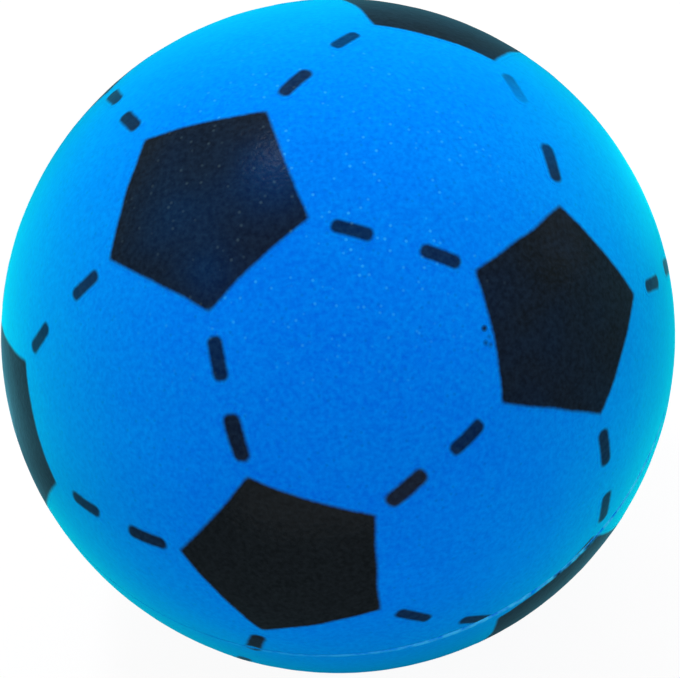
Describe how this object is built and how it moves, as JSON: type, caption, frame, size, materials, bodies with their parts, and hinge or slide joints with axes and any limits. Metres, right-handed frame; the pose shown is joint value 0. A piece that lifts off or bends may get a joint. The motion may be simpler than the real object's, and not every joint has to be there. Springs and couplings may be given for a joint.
{
  "type": "foam soccer ball",
  "caption": "Soft solid-foam soccer ball for indoor play, moulded in halves glued at the equator, with a printed pattern of black pentagons and dashed lines.",
  "frame": {"origin": "middle of the ball, in the plane of the glued seam", "axes": "+Z is the axis through the tops of the halves, square to the seam; the first printed pentagon leans from +Z towards -X"},
  "size_m": [0.2, 0.2, 0.2],
  "materials": {
    "foam": "soft fine-celled polyurethane foam, self-skinned, matte with a pale sheen at the rim",
    "glue": "cured contact adhesive, dull, tinted by the foam",
    "ink": "black ink soaked into the foam's skin, matte"
  },
  "bodies": {
    "root": {"upper_foam_half": "foam", "lower_foam_half": "foam", "glue_film": "glue", "pentagon_print_01": "ink", "pentagon_print_02": "ink", "pentagon_print_03": "ink", "pentagon_print_04": "ink", "pentagon_print_05": "ink", "pentagon_print_06": "ink", "pentagon_print_07": "ink", "pentagon_print_08": "ink", "pentagon_print_09": "ink", "pentagon_print_10": "ink", "pentagon_print_11": "ink", "pentagon_print_12": "ink", "dash_prints_01": "ink", "dash_prints_02": "ink", "dash_prints_03": "ink", "dash_prints_04": "ink", "dash_prints_05": "ink", "dash_prints_06": "ink", "dash_prints_07": "ink", "dash_prints_08": "ink", "dash_prints_09": "ink", "dash_prints_10": "ink", "dash_prints_11": "ink", "dash_prints_12": "ink"}
  },
  "joints": []
}
